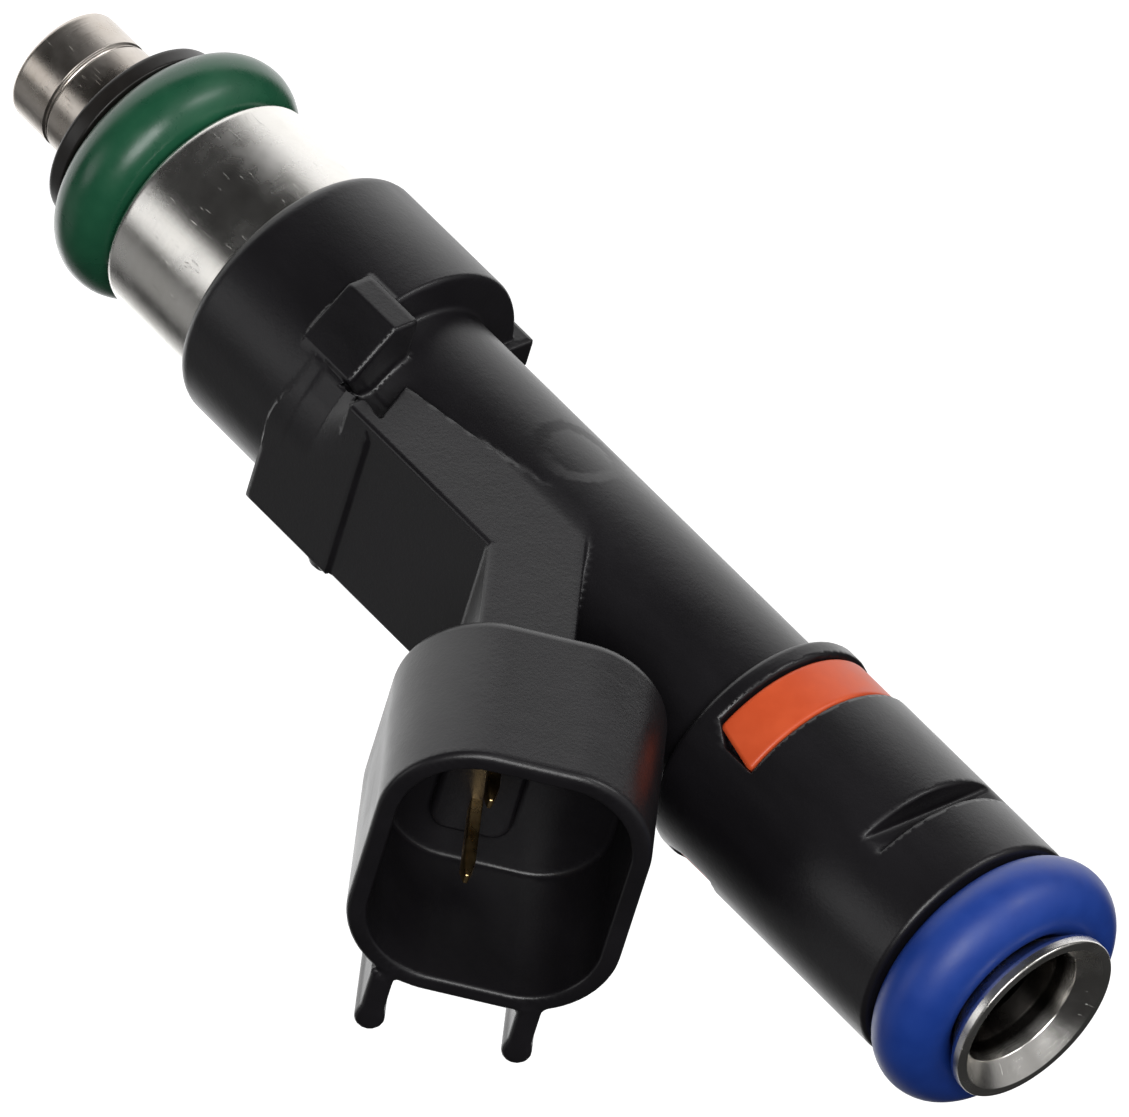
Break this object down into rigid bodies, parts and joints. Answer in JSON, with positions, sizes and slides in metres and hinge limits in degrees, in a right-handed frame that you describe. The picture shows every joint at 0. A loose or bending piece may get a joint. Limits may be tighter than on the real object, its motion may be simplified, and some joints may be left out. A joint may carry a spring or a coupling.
{
  "type": "fuel injector",
  "caption": "Long port fuel injector: spray tip and O-ring below, steel coil housing, black moulded stem with an angled electrical socket, and an inlet with an O-ring on top.",
  "frame": {"origin": "on the injector's axis, at the middle of the nozzle O-ring", "axes": "+Z along the axis from the spray tip to the fuel inlet; +X towards the side that the electrical connector is on; +Y completes a right-handed frame, on the side of the connector's guide rails"},
  "size_m": [0.0326, 0.0196, 0.0786],
  "materials": {
    "steel": "turned, satin",
    "nozzle_steel": "turned, slightly browned",
    "magnet_steel": "turned, dull",
    "ball_steel": "polished",
    "spring_steel": "drawn wire",
    "black_plastic": "glass-filled nylon, fine matte grain",
    "collar_plastic": "smooth dark plastic",
    "orange_plastic": "satin",
    "blue_rubber": "satin",
    "green_rubber": "glossy, oiled",
    "gold_plate": "plated, bright",
    "brass": "satin",
    "natural_plastic": "natural nylon",
    "filter_mesh": "fine woven mesh",
    "bobbin_plastic": "moulded",
    "copper": "enamelled wire"
  },
  "bodies": {
    "injector_body": {"inlet_tube": "steel", "inlet_oring": "blue_rubber", "filter_ring": "brass", "filter_frame": "natural_plastic", "filter_screen": "filter_mesh", "moulded_body": "black_plastic", "coding_ring": "orange_plastic", "terminal_left": "gold_plate", "terminal_right": "gold_plate", "magnet_housing": "steel", "magnet_cover": "magnet_steel", "coil_bobbin": "bobbin_plastic", "coil_winding": "copper", "valve_sleeve": "nozzle_steel", "nozzle_oring": "green_rubber", "nozzle_collar": "collar_plastic", "inner_pole": "magnet_steel", "adjusting_sleeve": "magnet_steel", "closing_spring": "spring_steel", "valve_seat": "steel", "spray_disc": "steel"},
    "needle": {"armature": "magnet_steel", "needle_tube": "steel", "valve_ball": "ball_steel"}
  },
  "joints": [
    {"name": "needle_lift", "type": "slide", "parent": "injector_body", "child": "needle", "axis": [0, 0, 1], "range_m": [0, 0.00008], "stiffness_N_per_m": 1000, "springref_m": -0.003, "deforming": ["closing_spring"]}
  ]
}
